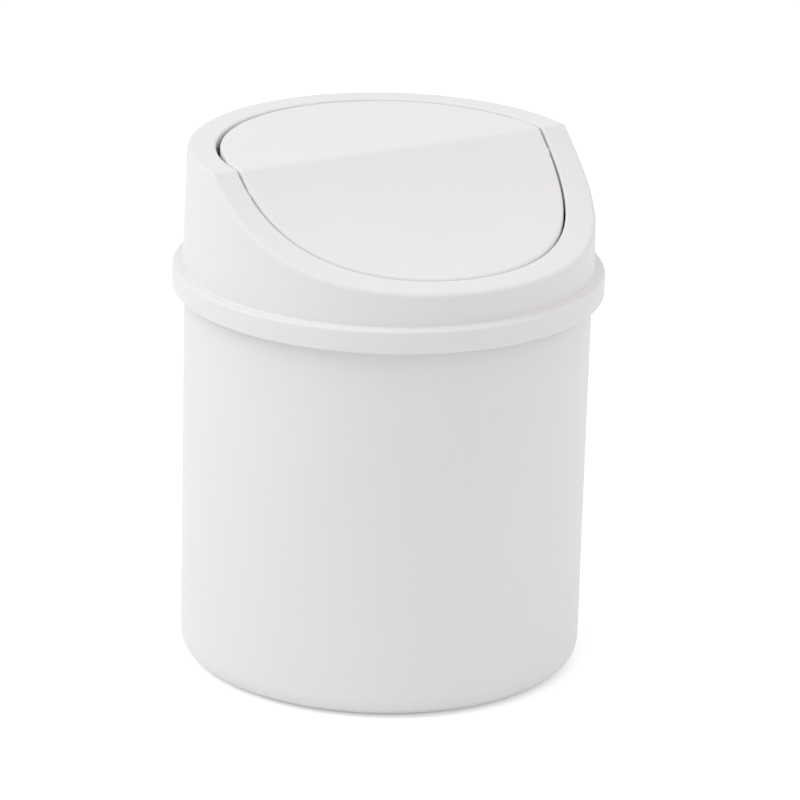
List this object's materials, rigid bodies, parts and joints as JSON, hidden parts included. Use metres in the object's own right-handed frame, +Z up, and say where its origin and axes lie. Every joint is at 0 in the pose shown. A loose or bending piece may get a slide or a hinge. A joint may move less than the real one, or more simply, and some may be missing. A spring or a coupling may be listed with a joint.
{
  "type": "desktop trash can",
  "caption": "Small round desk bin with a lift-off lid cover and a self-closing swing flap in a hollowed, sloping roof.",
  "frame": {"origin": "middle of the foot, on the table", "axes": "+Z up, +X to the right along the flap's pins, +Y to the back; the low front of the lid faces -Y"},
  "size_m": [0.139, 0.139, 0.17],
  "materials": {
    "barrel": "fine satin moulded white",
    "lid_cover": "fine satin moulded white",
    "swing_flap": "fine satin moulded white"
  },
  "bodies": {
    "barrel": {"barrel": "barrel"},
    "lid": {"lid_cover": "lid_cover"},
    "flap": {"swing_flap": "swing_flap"}
  },
  "joints": [
    {"name": "lid_lift", "type": "slide", "parent": "barrel", "child": "lid", "axis": [0, 0, 1], "range_m": [0, 0.06]},
    {"name": "flap_swing", "type": "hinge", "parent": "lid", "child": "flap", "pos_m": [0, -0.004, 0.16182], "axis": [1, 0, 0], "range_deg": [0, 90]}
  ]
}
